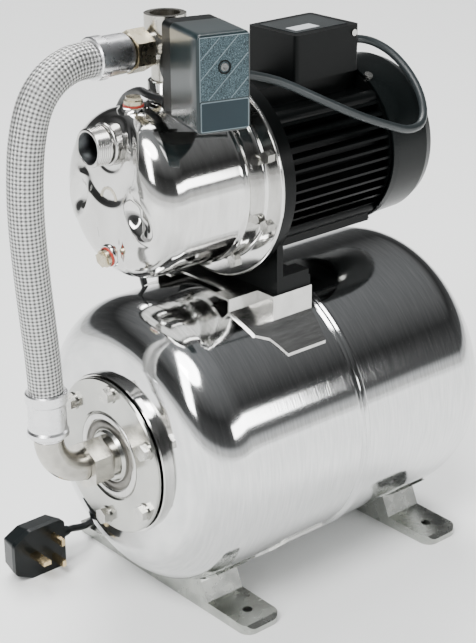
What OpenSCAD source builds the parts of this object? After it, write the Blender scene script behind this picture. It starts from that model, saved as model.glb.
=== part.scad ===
/* [Tank] */
// outside diameter of the pressure tank
tank_d = 268; // [240:1:280]
// half length of the straight part of the tank
tank_half = 132; // [110:1:160]
// outside radius of the knuckle at each tank end
knuckle_r = 45; // [30:1:60]
// height of the tank axis above the floor
tank_z = 149; // [135:1:170]
// outside diameter of the tank flange plate
flange_d = 144; // [130:1:160]
// bolt circle of the tank flange
flange_pcd = 124; // [110:1:135]

/* [Feet] */
// distance between the foot holes along the tank
hole_dx = 235; // [200:1:260]
// distance between the foot holes across the tank
hole_dy = 210; // [180:1:230]
// width of one foot bracket
foot_w = 42; // [30:1:60]
// length of one foot bracket across the tank
foot_len = 258; // [230:1:280]

/* [Pump] */
// height of the pump shaft above the floor
pump_z = 386; // [370:1:410]
// outside diameter of the pump casing
casing_d = 148; // [130:1:158]
// outside diameter of the casing rear flange
rim_d = 187; // [170:1:200]
// height of the suction stub above the shaft
suction_up = 48; // [30:1:55]
// outside diameter of the suction stub thread
suction_d = 33.2; // [26:0.1:42]

/* [Motor] */
// diameter over the motor fins
motor_d = 146; // [120:1:154]
// outside diameter of the fan cover
cowl_d = 155; // [140:1:165]
// length of the terminal box along the motor
tbox_l = 77; // [60:1:95]

/* [Switch] */
// turn of the pressure switch about the riser
switch_turn = 15; // [0:1:30]
// width of the pressure switch
switch_w = 46; // [40:1:60]
// height of the pressure switch
switch_h = 79; // [70:1:95]

/* [Hose and leads] */
// outside diameter of the braided hose
hose_d = 30; // [24:1:34]
// outside diameter of the mains lead
lead_d = 7; // [6:0.5:9]

/* [Hidden] */
tr = tank_d / 2;
wall = 1.2;
dome_x = tank_half + knuckle_r;
ring_x = dome_x + 1;
plate_x = ring_x + 8.5;
face_x = plate_x + 3;
cr = casing_d / 2;
px = -113.5;
fit_z = 507;
sw_z = 500;
hose_x = -251;
saddle_z = 287;
foot_y = foot_len / 2;
$fn = 64;

// revolve a [radius, x] outline about an axis along X at height z
module spin(pts, z, n = 96) {
  translate([0, 0, z]) rotate([0, 90, 0]) rotate_extrude($fn = n) polygon(pts);
}

// rod along +X
module rod(r, x0, x1, z, y = 0) {
  translate([x0, y, z]) rotate([0, 90, 0]) cylinder(r = r, h = x1 - x0);
}

// hexagon bolt, head from z = 0 upwards, shank downwards
module hex_bolt(af, hh, r, len) {
  translate([0, 0, 0.01]) cylinder(r = af * 0.577, h = hh, $fn = 6);
  translate([0, 0, -len]) cylinder(r = r, h = len + 0.2);
}

function unit(v) = v / norm(v);
function mix(a, b, c, d, t) = 0.5 * (2 * b + (c - a) * t + (2 * a - 5 * b + 4 * c - d) * t * t
  + (3 * b - a - 3 * c + d) * t * t * t);
function smooth(p, k) = [for (i = [0 : len(p) - 2], j = [0 : k - 1])
  mix(p[max(i - 1, 0)], p[i], p[i + 1], p[min(i + 2, len(p) - 1)], j / k), p[len(p) - 1]];
function tangents(p) = [for (i = [0 : len(p) - 1])
  unit(p[min(i + 1, len(p) - 1)] - p[max(i - 1, 0)])];
function carry(t, i, u) = i >= len(t) ? [] :
  let (w = unit(u - t[i] * (u * t[i]))) concat([w], carry(t, i + 1, w));
function rings(p, r, n) = let (t = tangents(p), u = carry(t, 0, unit([0.31, 0.83, 0.47])))
  [for (i = [0 : len(p) - 1], k = [0 : n - 1])
    p[i] + r * (u[i] * cos(360 * k / n) + cross(t[i], u[i]) * sin(360 * k / n))];
function sides(m, n, o, flip) = [for (i = [0 : m - 2], k = [0 : n - 1])
  let (a = o + i * n + k, b = o + i * n + (k + 1) % n)
  flip ? [a, b, b + n, a + n] : [a, a + n, b + n, b]];

// solid round tube along a route
module cord(p, r, n = 10) {
  m = len(p);
  polyhedron(points = rings(p, r, n), faces = concat(sides(m, n, 0, false),
    [[for (k = [0 : n - 1]) k]], [[for (k = [0 : n - 1]) m * n - 1 - k]]), convexity = 6);
}

// hollow round tube along a route
module pipe(p, r, ri, n = 12) {
  m = len(p);
  polyhedron(points = concat(rings(p, r, n), rings(p, ri, n)), faces = concat(
    sides(m, n, 0, false), sides(m, n, m * n, true),
    [for (k = [0 : n - 1]) [k, (k + 1) % n, m * n + (k + 1) % n, m * n + k]],
    [for (k = [0 : n - 1]) [(m - 1) * n + (k + 1) % n, (m - 1) * n + k,
      (2 * m - 1) * n + k, (2 * m - 1) * n + (k + 1) % n]]), convexity = 8);
}

hose_route = smooth([[-191, 0, fit_z], [-212, 0, 505.5], [-232, 0, 496], [-247, 0, 478],
  [-256, 0, 450], [-260, 0, 415], [-260.5, 0, 380], [-258.5, 0, 340], [-255.5, 0, 300],
  [-252.5, 0, 262], [hose_x, 0, 232]], 2);
function sw(s, t, z) = [px - s * sin(switch_turn) + t * cos(switch_turn),
  -s * cos(switch_turn) - t * sin(switch_turn), z];
ctrl_route = smooth([sw(54, 36, 490), sw(55, 46, 489), [-55, -76, 480], [-20, -90, 461],
  [15, -97, 443], [50, -100, 428], [76, -100, 419], [97, -96, 419], [111, -86, 428],
  [118, -72, 443], [119, -56, 458], [115, -40, 471], [107, -27, 479], [97, -19.5, 482.5],
  [89.5, -18, 483]], 2);
lead_route = smooth([sw(33.5, -15, 467), sw(25, -15.4, 467.6), [-134.4, 0, 468.5], [-131, 14, 468],
  [-126, 34, 461], [-120, 54, 449], [-114, 72, 428], [-108, 84, 402], [-101, 90, 372],
  [-92, 94, 340], [-80, 101, 300], [-66, 106, 262], [-50, 116, 226.5], [-30, 129.5, 199],
  [-8, 138.5, 165], [14, 140, 125], [34, 143, 85], [52, 152, 45], [68, 168, 17],
  [84, 186, 4.5], [96, 196, 4.5]], 2);
tail_route = smooth([[63.5, 240, 4.5], [40, 218, 4.5], [5, 196, 4.5], [-40, 172, 4.5],
  [-75, 154, 5.5], [-93, 141, 10], [-107, 129, 14], [-124, 115, 14.5], [-142, 104, 17],
  [-155, 98, 21], [-166, 96, 24.5], [-172, 96, 25]], 3);

function half_shell(R, k, x0, rh, s) = concat([[R, 0], [R, s * x0]],
  [for (a = [15 : 15 : 75]) [R - k + k * cos(a), s * (x0 + k * sin(a))]],
  [[R - k, s * (x0 + k)], [76, s * (x0 + k + 1)], [rh, s * (x0 + k + 1)]]);
function back(v) = [for (i = [len(v) - 1 : -1 : 0]) v[i]];

module half_tank(s, rh) {
  spin(concat(half_shell(tr, knuckle_r, tank_half, rh, s),
    back(half_shell(tr - wall, knuckle_r - wall, tank_half, rh, s))), tank_z, 120);
}

module tank_shell_front() {
  color("silver") half_tank(-1, 56);
}

module tank_shell_rear() {
  color("silver") half_tank(1, 8.2);
}

module centre_seam() {
  color("gainsboro") spin([[tr, -6], [tr + 1, -5], [tr + 2, -3.4], [tr + 2, -1.8], [tr + 0.8, 0],
    [tr + 2, 1.8], [tr + 2, 3.4], [tr + 1, 5], [tr, 6]], tank_z, 120);
}

module neck_ring() {
  color("silver") difference() {
    spin([[56, -ring_x - 6.5], [73.5, -ring_x - 6.5], [74.5, -ring_x - 5.5], [74.5, -ring_x],
      [56, -ring_x]], tank_z);
    flange_ring(4.1, 8);
  }
}

module flange_ring(r, deep) {
  for (i = [0 : 5])
    translate([-face_x - 1, -flange_pcd / 2 * cos(24.8 + 60 * i),
      tank_z + flange_pcd / 2 * sin(24.8 + 60 * i)])
      rotate([0, 90, 0]) cylinder(r = r, h = deep + 6, $fn = 32);
}

module flange_plate() {
  color("silver") difference() {
    spin([[17, -plate_x], [flange_d / 2, -plate_x], [flange_d / 2, -face_x + 1],
      [flange_d / 2 - 1, -face_x], [42, -face_x], [40, -face_x + 1.6], [24, -face_x + 1.6],
      [22, -face_x - 1], [17, -face_x - 1]], tank_z);
    flange_ring(4.4, 12);
  }
}

module flange_bolts() {
  color("lightgray") for (i = [0 : 5])
    translate([-face_x, -flange_pcd / 2 * cos(24.8 + 60 * i),
      tank_z + flange_pcd / 2 * sin(24.8 + 60 * i)]) rotate([0, -90, 0]) {
      hex_bolt(13, 6.8, 4, 11.3);
      difference() {
        cylinder(r = 8.2, h = 1.5, $fn = 40);
        translate([0, 0, -1]) cylinder(r = 4.05, h = 4, $fn = 32);
      }
    }
}

module bladder() {
  color("dimgray") difference() {
    spin([[40, -plate_x], [55, -plate_x + 0], [55, -plate_x + 14], [80, -155], [104, -120],
      [108, -60], [108, 40], [98, 90], [70, 116], [0, 122], [0, 119], [68, 113], [95, 88],
      [105, 39], [105, -60], [101, -119], [77, -153], [52, -plate_x + 15],
      [52, -plate_x + 2], [40, -plate_x + 2]], tank_z);
  }
}

module air_valve_stem() {
  color("gold") spin([[3, ring_x - 8], [8, ring_x - 8], [8, ring_x], [11, ring_x], [11, ring_x + 2.5],
    [6, ring_x + 2.5], [6, ring_x + 6], [3.9, ring_x + 6], [3.9, ring_x + 20], [2.2, ring_x + 20],
    [2.2, ring_x + 4], [3, ring_x + 4]], tank_z, 40);
}

module air_valve_cap() {
  color("black") spin([[0, ring_x + 25], [5, ring_x + 25], [6, ring_x + 24], [6.4, ring_x + 8],
    [4.3, ring_x + 8], [4.3, ring_x + 22.5], [0, ring_x + 22.5]], tank_z, 40);
}

module air_valve_pin() {
  color("gold") {
    rod(1.1, ring_x - 4, ring_x + 19.5, tank_z, $fn = 20);
    rod(1.7, ring_x - 6, ring_x - 3, tank_z, $fn = 20);
  }
}

// outline of one foot bracket seen along the tank
module foot_outline(t) {
  difference() {
    polygon(concat([[-foot_y + t, -1], [-foot_y + t, 5 - t * 0.4], [-foot_y + 4 + t, 9 - t],
      [-74 + t, 10 - t], [-66 + t, 28 - t]],
      [for (y = [-60 : 20 : 60]) [y, 40 - t]],
      [[66 - t, 28 - t], [74 - t, 10 - t], [foot_y - 4 - t, 9 - t], [foot_y - t, 5 - t * 0.4],
      [foot_y - t, -1]]));
    translate([-200, -50]) square([400, 50]);
    translate([0, tank_z]) circle(r = tr + 0.1 + t, $fn = 160);
  }
}

module foot(xc) {
  translate([xc, 0, 0]) rotate([0, 0, 180]) difference() {
    union() {
      intersection() {
        rotate([90, 0, 90]) translate([0, 0, -foot_w / 2]) linear_extrude(foot_w) foot_outline(0);
        translate([-foot_w / 2, 0, -2]) linear_extrude(80) box_shape(foot_w, foot_len, 11);
      }
      rotate([90, 0, 90]) translate([0, 0, -foot_w / 2 + 3]) linear_extrude(foot_w - 6)
        difference() {
          translate([0, tank_z]) circle(r = tr + 2.1, $fn = 160);
          translate([0, tank_z]) circle(r = tr + 0.1, $fn = 160);
          translate([-200, 43]) square([400, 400]);
        }
    }
    intersection() {
      rotate([90, 0, 90]) translate([0, 0, -foot_w / 2 + 2]) linear_extrude(foot_w - 4)
        foot_outline(2.2);
      translate([-foot_w / 2 + 2, 0, -3]) linear_extrude(82) box_shape(foot_w - 4, foot_len - 4.4, 9);
    }
    for (s = [-1, 1]) translate([0, s * hole_dy / 2, -1]) cylinder(r = 4.75, h = 20, $fn = 32);
  }
}

module front_foot() {
  color("silver") foot(-hole_dx / 2);
}

module rear_foot() {
  color("silver") foot(hole_dx / 2);
}

module saddle_side(g) {
  polygon([[-72 - g, saddle_z + 5], [-72 - g, 225], [72 + g, 225], [72 + g, saddle_z + 5]]);
}

module saddle() {
  color("gainsboro") {
    difference() {
      translate([-57, 0, 0]) rotate([90, 0, 90]) linear_extrude(46) saddle_side(0);
      translate([-55, 0, -2]) rotate([90, 0, 90]) linear_extrude(42) saddle_side(-2);
      translate([-60, -120, saddle_z]) cube([80, 240, 20]);
      translate([-55, -70, saddle_z - 10]) cube([42, 140, 8]);
      translate([-60, 0, tank_z]) rotate([0, 90, 0]) cylinder(r = tr + 0.1, h = 80, $fn = 160);
    }
    difference() {
      translate([-57, -72, saddle_z - 2]) cube([46, 144, 2]);
      for (s = [-1, 1]) translate([-30, s * 44, 260]) cylinder(r = 4.3, h = 60, $fn = 32);
    }
    difference() {
      translate([-90, -51, saddle_z - 2]) cube([33.5, 102, 2]);
      translate([-96, -30, saddle_z - 3]) cube([20, 60, 5]);
    }
    for (s = [-1, 1]) difference() {
      translate([-90, s * 50 - 1, 262]) cube([34, 2, 23.5]);
      translate([-100, 0, tank_z]) rotate([0, 90, 0]) cylinder(r = tr + 0.1, h = 80, $fn = 160);
    }
    for (s = [-1, 1]) saddle_lip(s);
  }
}

// curved lip of the saddle lying on the tank
module saddle_lip(s) {
  intersection() {
    difference() {
      rod(tr + 2.1, -92, -11, tank_z, $fn = 160);
      rod(tr + 0.1, -100, 0, tank_z, $fn = 160);
    }
    linear_extrude(400) polygon([[-90, s * 49], [-56, s * 49], [-56, s * 70], [-11, s * 70],
      [-18, s * 98], [-63, s * 98], [-72, s * 84], [-84, s * 78]]);
  }
}

module pump_foot() {
  color([0.1, 0.1, 0.1]) difference() {
    union() {
      translate([-51, -70, saddle_z]) cube([40, 140, 9]);
      for (s = [-1, 1]) {
        translate([-51, s * 61 - 9, saddle_z]) cube([38, 18, 15]);
        translate([-51, s * 62 - 8, saddle_z]) cube([7, 16, 47]);
      }
      translate([-51, -54, saddle_z]) cube([7, 108, 24]);
    }
    for (s = [-1, 1]) translate([-30, s * 44, 260]) cylinder(r = 4.3, h = 60, $fn = 32);
    rod(88.4, -60, -40, pump_z, $fn = 96);
  }
}

module saddle_bolts() {
  color("lightgray") for (s = [-1, 1]) translate([-30, s * 44, saddle_z + 9]) {
    hex_bolt(13, 5.5, 4, 17.6);
    translate([0, 0, -17.6]) difference() {
      cylinder(r = 7.5, h = 6.5, $fn = 6);
      translate([0, 0, -1]) cylinder(r = 4.02, h = 9, $fn = 32);
    }
  }
}

module casing_bores() {
  translate([-190, 0, pump_z + suction_up]) rotate([0, 90, 0]) cylinder(r = suction_d / 2 - 0.55, h = 30);
  translate([px, 0, pump_z + 40]) cylinder(r = 12.7, h = 60);
  translate([-149, 0, pump_z + 40]) cylinder(r = 6.05, h = 60);
  translate([-179.4, 0, pump_z - 50]) rotate([0, -101.5, 0]) cylinder(r = 6.05, h = 30, center = true);
}

module ring_of(n, r, a) {
  for (i = [0 : n - 1])
    translate([0, -r * cos(a + 360 * i / n), pump_z + r * sin(a + 360 * i / n)]) children();
}

module pump_casing() {
  color("gainsboro") difference() {
    union() {
      spin(concat([[rim_d / 2, -63.8], [rim_d / 2, -66], [74.4, -66], [cr, -68], [cr, -84],
        [cr + 2.4, -86.5], [cr + 2.4, -89.5], [cr, -92], [cr, -150]],
        [for (a = [15 : 15 : 90]) [cr - 30 + 30 * cos(a), -150 - 30 * sin(a)]],
        [[0, -181.5], [0, -180], [cr - 30, -178.5]],
        [for (a = [75 : -15 : 15]) [cr - 30 + 28.5 * cos(a), -150 - 28.5 * sin(a)]],
        [[cr - 1.5, -150], [cr - 1.5, -91.2], [cr + 0.8, -88.8], [cr + 0.8, -87.2],
        [cr - 1.5, -84.8], [cr - 1.5, -66], [72.6, -63.8]]), pump_z, 120);
      translate([-149, 0, pump_z + 68]) cylinder(r = 11, h = 7);
      translate([px, 0, pump_z + 68]) cylinder(r = 16, h = 24);
      translate([-179.4, 0, pump_z - 50]) rotate([0, -101.5, 0]) translate([0, 0, -3])
        cylinder(r = 10, h = 4.5);
    }
    casing_bores();
    translate([-67, 0, 0]) ring_of(8, 80.5, 22.5) rotate([0, 90, 0]) cylinder(r = 3.3, h = 8, $fn = 32);
  }
}

module suction_port() {
  color("silver") translate([0, 0, suction_up]) {
    spin([[13.5, -197.5], [suction_d / 2 - 0.8, -197.5], [suction_d / 2, -196.5],
      [suction_d / 2, -183], [suction_d / 2 - 0.6, -183], [suction_d / 2 - 0.6, -168],
      [13.5, -168]], pump_z, 80);
  }
}

module plug_cap() {
  difference() {
    union() {
      cylinder(r = 8, h = 3.5, $fn = 48);
      translate([0, 0, 3.5]) cylinder(r = 7.2, h = 3, $fn = 6);
      translate([0, 0, -11]) cylinder(r = 5.95, h = 11.5, $fn = 40);
    }
    translate([0, 0, -12]) cylinder(r = 3.6, h = 9, $fn = 30);
  }
}

module plug_ring() {
  difference() {
    cylinder(r = 8.8, h = 1.6, $fn = 48);
    translate([0, 0, -1]) cylinder(r = 6.3, h = 4, $fn = 48);
  }
}

module drain_at(h) {
  translate([-179.4, 0, pump_z - 50]) rotate([0, -101.5, 0]) translate([0, 0, 1.5 + h]) children();
}

module priming_plug() {
  color("gold") translate([-149, 0, pump_z + 76.6]) plug_cap();
}

module drain_plug() {
  color("gold") drain_at(1.6) plug_cap();
}

module plug_washers() {
  color("red") {
    translate([-149, 0, pump_z + 75]) plug_ring();
    drain_at(0) plug_ring();
  }
}

module casing_bolts() {
  color("lightgray") translate([-66, 0, 0]) ring_of(8, 80.5, 22.5) rotate([0, -90, 0])
    hex_bolt(10, 4.2, 3, 12);
}

module seal_plate() {
  color("silver") difference() {
    spin([[12.4, -63.8], [rim_d / 2 - 2, -63.8], [rim_d / 2 - 2, -61.8], [12.4, -61.8]], pump_z);
    translate([-67, 0, 0]) ring_of(8, 80.5, 22.5) rotate([0, 90, 0]) cylinder(r = 3.3, h = 8, $fn = 32);
  }
}

module ejector_nozzle() {
  color("ivory") {
    spin([[3.5, -162], [5, -162], [11, -171], [11, -178.2], [8.5, -178.2], [8.5, -171.5]], pump_z, 48);
    for (a = [0, 120, 240]) translate([0, 0, pump_z]) rotate([a, 0, 0])
      translate([-176, -1.2, 10.5]) cube([16, 2.4, 4]);
  }
}

module venturi_tube() {
  color("ivory") spin([[10, -160], [16, -160], [16, -150], [13, -144], [14, -120], [18, -110],
    [18, -106], [14, -106], [10.5, -120], [6.5, -142], [6.5, -150]], pump_z, 60);
}

module diffuser() {
  color("ivory") {
    spin([[14.2, -106], [66, -106], [66, -63.8], [64, -63.8], [64, -74], [53, -74], [53, -101],
      [20, -101], [20, -103], [14.2, -103]], pump_z);
  }
}

module impeller() {
  color("silver") {
    spin([[6.52, -97], [10, -97], [10, -88], [50, -85], [50, -84], [12, -84], [12, -79.5],
      [6.52, -79.5]], pump_z);
    spin([[12.5, -104.5], [13.7, -104.5], [13.7, -98.5], [50, -91], [50, -90], [13, -97.3],
      [12.5, -97.3]], pump_z);
    intersection() {
      spin([[13, -97.2], [49.5, -90], [49.5, -85.06], [13, -87.8]], pump_z);
      for (a = [0 : 60 : 300]) translate([0, 0, pump_z]) rotate([a, 0, 0])
        translate([-100, 14, -1]) rotate([25, 0, 0]) cube([18, 40, 1.6]);
    }
  }
}

module seal_rotary() {
  color("dimgray") spin([[6.52, -79.5], [11, -79.5], [11, -66.6], [7.5, -66.6], [7.5, -68],
    [6.52, -68]], pump_z, 48);
}

module seal_stationary() {
  color("white") spin([[7.2, -66.55], [10.5, -66.55], [10.5, -64], [12.35, -64], [12.35, -59],
    [7.2, -59]], pump_z, 48);
}

module motor_adaptor() {
  color([0.12, 0.12, 0.12]) difference() {
    spin([[12.4, -61.8], [90.5, -61.8], [90.5, -52.5], [88.3, -51], [88.3, -46], [60, -46],
      [60, -44], [20, -44], [20, -56], [12.4, -56]], pump_z);
    translate([-62, 0, 0]) ring_of(8, 80.5, 22.5) rotate([0, 90, 0]) cylinder(r = 3.05, h = 9, $fn = 32);
  }
}

module motor_shaft() {
  color("silver") spin([[0, -106], [4, -106], [4, -98], [6.5, -97], [6.5, -57], [8.45, -57],
    [8.45, -43], [10, -43], [10, 79], [8.45, 79], [8.45, 93], [6, 93], [6, 118], [0, 118]],
    pump_z, 60);
}

module rotor_core() {
  color("gray") {
    spin([[10.02, -8], [29.5, -8], [29.5, 52], [10.02, 52]], pump_z);
    spin([[18, -12], [28, -12], [28, -8], [18, -8]], pump_z);
    spin([[18, 52], [28, 52], [28, 56], [18, 56]], pump_z);
  }
}

module bearing_inner() {
  color("silver") for (x = [-56, 80]) {
    spin([[8.5, x], [12, x], [12, x + 12], [8.5, x + 12]], pump_z, 48);
    translate([x + 6, 0, 0]) ring_of(8, 14.25, 0) sphere(r = 2.2, $fn = 16);
  }
}

module bearing_outer() {
  color("silver") for (x = [-56, 80])
    spin([[16.5, x], [20, x], [20, x + 12], [16.5, x + 12]], pump_z, 64);
}

module stator_core() {
  color("gray") spin([[30, -10], [56, -10], [56, 54], [30, 54]], pump_z);
}

module windings() {
  color("chocolate") {
    spin([[36, -30], [50, -30], [54, -24], [54, -10], [33, -10], [33, -26]], pump_z);
    spin([[33, 54], [54, 54], [54, 68], [50, 74], [36, 74], [33, 70]], pump_z);
  }
}

// housing section seen along the shaft, y across and z up
module housing_section() {
  difference() {
    union() {
      circle(r = 60.5, $fn = 96);
      intersection() {
        circle(d = motor_d, $fn = 96);
        union() {
          for (z = [-47.5 : 9.5 : 47.5]) translate([-90, z - 1.1]) square([180, 2.2]);
          translate([-90, 51]) square([180, 3.2]);
          translate([-90, -55]) square([180, 3.2]);
        }
      }
      translate([-25, 50]) square([50, 23]);
      translate([-47, -67]) square([94, 14]);
      for (s = [-1, 1]) for (z = [-52, 50]) translate([s * 47, z]) circle(r = 7);
    }
    circle(r = 56, $fn = 96);
    for (s = [-1, 1]) for (z = [-52, 50]) translate([s * 47, z]) circle(r = 2.5);
  }
}

module motor_housing() {
  color([0.08, 0.08, 0.08]) difference() {
    translate([0, 0, pump_z]) rotate([90, 0, 90]) translate([0, 0, -44]) linear_extrude(128)
      housing_section();
    translate([15, -12, pump_z + 40]) cube([30, 24, 60]);
    translate([-50, 0, pump_z - 78]) translate([12, -60, 0]) cube([16, 120, 12]);
  }
}

module rear_shield() {
  color([0.1, 0.1, 0.1]) difference() {
    spin([[20, 80], [55.9, 80], [55.9, 84], [73.5, 84], [73.5, 91],
      [66, 91], [62, 88], [24, 92], [24, 96], [9, 96], [9, 92.2], [20, 92.2]], pump_z);
    for (a = [30, 150, 270]) translate([0, 0, pump_z]) rotate([a, 0, 0])
      translate([87.5, 0, 66]) cylinder(r = 2.03, h = 30, $fn = 24);
  }
}

module cooling_fan() {
  color([0.15, 0.15, 0.15]) {
    spin([[6.02, 98], [16, 98], [18, 104], [18, 106], [58, 106], [58, 108], [16, 108],
      [16, 116], [6.02, 116]], pump_z);
    for (a = [0 : 45 : 315]) translate([0, 0, pump_z]) rotate([a, 0, 0])
      translate([108, 16, -1]) cube([16, 42, 2]);
  }
}

module fan_cover() {
  color([0.1, 0.1, 0.11]) difference() {
    spin([[cowl_d / 2 - 1.6, 84.5], [cowl_d / 2, 84.5], [cowl_d / 2, 91], [cowl_d / 2 - 1.6, 93],
      [cowl_d / 2 - 2.6, 130], [cowl_d / 2 - 6, 139], [cowl_d / 2 - 13, 144.4], [0, 146],
      [0, 144.2], [cowl_d / 2 - 13.5, 142.6], [cowl_d / 2 - 7.5, 137.8], [cowl_d / 2 - 4.4, 130],
      [cowl_d / 2 - 3.4, 93]], pump_z, 120);
    for (r = [18 : 10 : 58]) difference() {
      spin([[r, 138], [r + 5.5, 138], [r + 5.5, 150], [r, 150]], pump_z);
      for (a = [0 : 45 : 135]) translate([140, 0, pump_z]) rotate([a, 0, 0])
        cube([30, 200, 7], center = true);
    }
    for (a = [30, 150, 270]) translate([0, 0, pump_z]) rotate([a, 0, 0])
      translate([87.5, 0, 60]) cylinder(r = 2.2, h = 30, $fn = 24);
  }
}

module cover_screws() {
  color("silver") for (a = [30, 150, 270]) translate([0, 0, pump_z]) rotate([a, 0, 0])
    translate([87.5, 0, cowl_d / 2 + 0.02]) {
      cylinder(r = 4, h = 2.2, $fn = 32);
      translate([0, 0, -9]) cylinder(r = 2, h = 9.1, $fn = 24);
    }
}

module box_shape(l, w, r) {
  translate([r, r - w / 2]) hull() {
    circle(r = r, $fn = 32);
    translate([l - 2 * r, 0]) circle(r = r, $fn = 32);
    translate([0, w - 2 * r]) circle(r = r, $fn = 32);
    translate([l - 2 * r, w - 2 * r]) circle(r = r, $fn = 32);
  }
}

module terminal_box() {
  color([0.07, 0.08, 0.08]) difference() {
    translate([5, 0, 459]) linear_extrude(30) box_shape(tbox_l, 64, 4);
    translate([7.5, 0, 462]) linear_extrude(30) box_shape(tbox_l - 5, 59, 2);
    translate([20, -10, 450]) cube([20, 20, 20]);
    rod(5.05, 76, 90, 483, -18);
    for (x = [12, 5 + tbox_l - 7]) for (y = [-25, 25]) translate([x, y, 470]) cylinder(r = 2, h = 30);
  }
}

module terminal_lid() {
  color([0.3, 0.31, 0.31]) difference() {
    translate([5, 0, 489]) linear_extrude(12) box_shape(tbox_l, 64, 4);
    translate([8, 0, 488]) linear_extrude(10) box_shape(tbox_l - 6, 58, 2);
  }
}

module terminal_screws() {
  color("silver") for (y = [-1, 1]) translate([5 + tbox_l - 7, y * 32.02, 494])
    rotate([-90 * y, 0, 0]) cylinder(r = 3, h = 1.2);
}

module capacitor() {
  color("whitesmoke") rod(12.5, 14, 64, 474.5, 8, $fn = 48);
}

module control_cable() {
  color([0.2, 0.22, 0.22]) cord(ctrl_route, 3.75);
}

module at_switch(s, t, z) {
  translate([px, 0, z]) rotate([0, 0, -switch_turn]) translate([t, -s, 0]) children();
}

module five_way_fitting() {
  color("gainsboro") difference() {
    union() {
      translate([px, 0, pump_z + 82]) cylinder(r = 12.6, h = 40);
      translate([px, 0, fit_z]) sphere(r = 17.2, $fn = 48);
      translate([px, 0, fit_z + 3]) cylinder(r = 15.7, h = 12);
      translate([px, 0, fit_z + 12]) cylinder(r = 17.9, h = 15);
      rod(14.8, px - 22, px, fit_z);
      rod(12.9, px - 34, px, fit_z);
      at_switch(0, 0, fit_z) rotate([90, 0, 0]) cylinder(r = 11.6, h = 22);
    }
    translate([px, 0, 460]) cylinder(r = 8.6, h = 53);
    translate([px, 0, fit_z + 4]) cylinder(r = 13, h = 40);
    rod(8.3, px - 40, px, fit_z);
    at_switch(0, 0, fit_z) rotate([90, 0, 0]) cylinder(r = 6.6, h = 40);
  }
}

module swivel_nut() {
  color("tan") difference() {
    translate([-154, 0, fit_z]) rotate([0, 90, 0]) cylinder(r = 18.6, h = 17.5, $fn = 6);
    rod(13.25, -150.9, -130, fit_z);
    rod(9.5, -160, -140, fit_z);
  }
}

module hose_ferrules() {
  color("gainsboro") {
    translate([0, 0, fit_z - tank_z]) spin([[7, -191], [17, -191], [18.2, -190], [18.2, -181],
      [17, -180], [16.6, -158], [14, -155], [9.1, -155], [9.1, -150.6], [12.7, -150.6],
      [12.7, -147.8], [7, -147.8]], tank_z, 64);
    translate([hose_x, 0, 187]) rotate_extrude($fn = 64) polygon([[7, 0], [12.5, 0], [12.5, 2],
      [17, 4], [18.2, 5], [18.2, 9], [16.8, 11], [16.6, 34], [18.2, 36], [18.2, 44], [17, 45],
      [7, 45]]);
  }
}

module braided_hose() {
  color("lightgray") pipe(hose_route, hose_d / 2, hose_d / 2 - 4.5);
}

module tank_elbow() {
  color("silver") {
    translate([-213, 0, 187]) rotate([90, 0, 0]) rotate([0, 0, 180])
      rotate_extrude(angle = 90, $fn = 96) translate([38, 0]) difference() {
        circle(r = 13, $fn = 40);
        circle(r = 9.5, $fn = 40);
      }
    spin([[9.5, -213], [13, -213], [13, -208.8], [16.4, -208.8], [16.4, -205], [9.5, -205]],
      tank_z, 48);
    spin([[11, -204.9], [16.5, -204.9], [16.9, -203], [16.9, -182], [11, -182]], tank_z, 64);
  }
}

module union_nut() {
  color("silver") difference() {
    translate([-217, 0, tank_z]) rotate([0, 90, 0]) cylinder(r = 22.5, h = 19.5, $fn = 6);
    rod(17.3, -209.1, -190, tank_z);
    rod(13.4, -220, -200, tank_z);
  }
}

module switch_block(d, w, h, r) {
  rotate([90, 0, 0]) linear_extrude(d) translate([-w / 2, 0]) box_shape(w, h, r);
}

module switch_base() {
  color([0.1, 0.1, 0.1]) {
    difference() {
      union() {
        at_switch(46, 0, sw_z) switch_block(16, switch_w, switch_h, 5);
        at_switch(37, 0, sw_z) rotate([90, 0, 0]) cylinder(r = 22, h = 9.2, $fn = 64);
      }
      at_switch(49, 0, sw_z) switch_block(20, switch_w - 5, switch_h - 5, 3);
      at_switch(30, 0, fit_z) rotate([90, 0, 0]) cylinder(r = 6.6, h = 14);
      at_switch(52, -15, 467) rotate([-90, 0, 0]) cylinder(r = 5.05, h = 14);
      at_switch(54, 20, 490) rotate([0, 90, 0]) cylinder(r = 5.05, h = 14);
    }
    at_switch(14, 0, fit_z) rotate([90, 0, 0]) difference() {
      cylinder(r = 6.5, h = 30, $fn = 32);
      translate([0, 0, -1]) cylinder(r = 3.5, h = 32, $fn = 32);
    }
    for (t = [-20, 17.5]) at_switch(48.5, t, 470) rotate([90, 0, 0]) difference() {
      translate([0, 0, 0]) cube([2.5, 9, 24]);
      translate([-1, 5, 18]) rotate([0, 90, 0]) cylinder(r = 1.6, h = 6, $fn = 24);
    }
  }
}

module switch_cover() {
  color([0.22, 0.27, 0.3]) difference() {
    at_switch(62, 0, sw_z) switch_block(52, switch_w, switch_h, 5);
    at_switch(61, 0, sw_z) switch_block(50.5, switch_w - 5, switch_h - 5, 3);
    at_switch(112.8, -19, sw_z - 36) translate([0, -3, 0]) cube([38, 3, 24]);
    at_switch(111.2, 0, 513) rotate([90, 0, 0]) cylinder(r = 5.5, h = 4, $fn = 40);
    at_switch(107, 0, 513) rotate([90, 0, 0]) cylinder(r = 2.1, h = 8, $fn = 24);
  }
}

module contact_lever() {
  color("silver") {
    at_switch(66.5, 0, 475) rotate([0, 90, 0]) cylinder(r = 1.5, h = 39, center = true, $fn = 24);
    at_switch(65.7, -15, 476) translate([0, -1.8, 0]) cube([30, 1.8, 46]);
    for (t = [-12, 8]) at_switch(65.2, t, 473.4) translate([0, -2.9, 0]) cube([4, 2.9, 3]);
  }
}

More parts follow.
